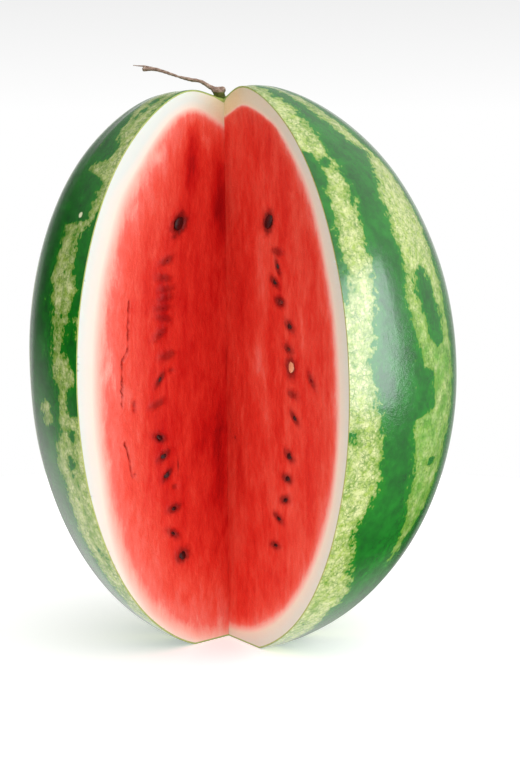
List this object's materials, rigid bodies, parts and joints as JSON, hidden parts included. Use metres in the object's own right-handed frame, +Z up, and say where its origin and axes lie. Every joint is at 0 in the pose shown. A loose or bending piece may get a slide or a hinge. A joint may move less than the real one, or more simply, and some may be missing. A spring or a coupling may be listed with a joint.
{
  "type": "watermelon",
  "caption": "Whole striped oval watermelon standing on its blossom end, with a pole-to-pole wedge cut out to show rind, red flesh and seeds, and a dry stem on top.",
  "frame": {"origin": "middle of the small flat spot on the blossom end, on the surface that the fruit rests on", "axes": "+Z up towards the stem end, the wedge-shaped cut-out opens towards -Y, and the dry stem points to -X"},
  "size_m": [0.2402, 0.226, 0.3235],
  "materials": {
    "skin": "waxy striped dark and light green rind",
    "flesh": "moist grainy red flesh that fades into white rind",
    "stem": "dry, rough and brown",
    "seed": "smooth, dark brown to black, a few pale"
  },
  "bodies": {
    "root": {"melon": "skin", "stem": "stem", "seed_left_01": "seed", "seed_left_02": "seed", "seed_left_03": "seed", "seed_left_04": "seed", "seed_left_05": "seed", "seed_left_06": "seed", "seed_left_07": "seed", "seed_left_08": "seed", "seed_left_09": "seed", "seed_left_10": "seed", "seed_left_11": "seed", "seed_left_12": "seed", "seed_left_13": "seed", "seed_left_14": "seed", "seed_left_15": "seed", "seed_left_16": "seed", "seed_left_17": "seed", "seed_right_01": "seed", "seed_right_02": "seed", "seed_right_03": "seed", "seed_right_04": "seed", "seed_right_05": "seed", "seed_right_06": "seed", "seed_right_07": "seed", "seed_right_08": "seed", "seed_right_09": "seed", "seed_right_10": "seed", "seed_right_11": "seed", "seed_right_12": "seed", "seed_right_13": "seed", "seed_right_14": "seed", "seed_right_15": "seed", "seed_right_16": "seed"}
  },
  "joints": []
}
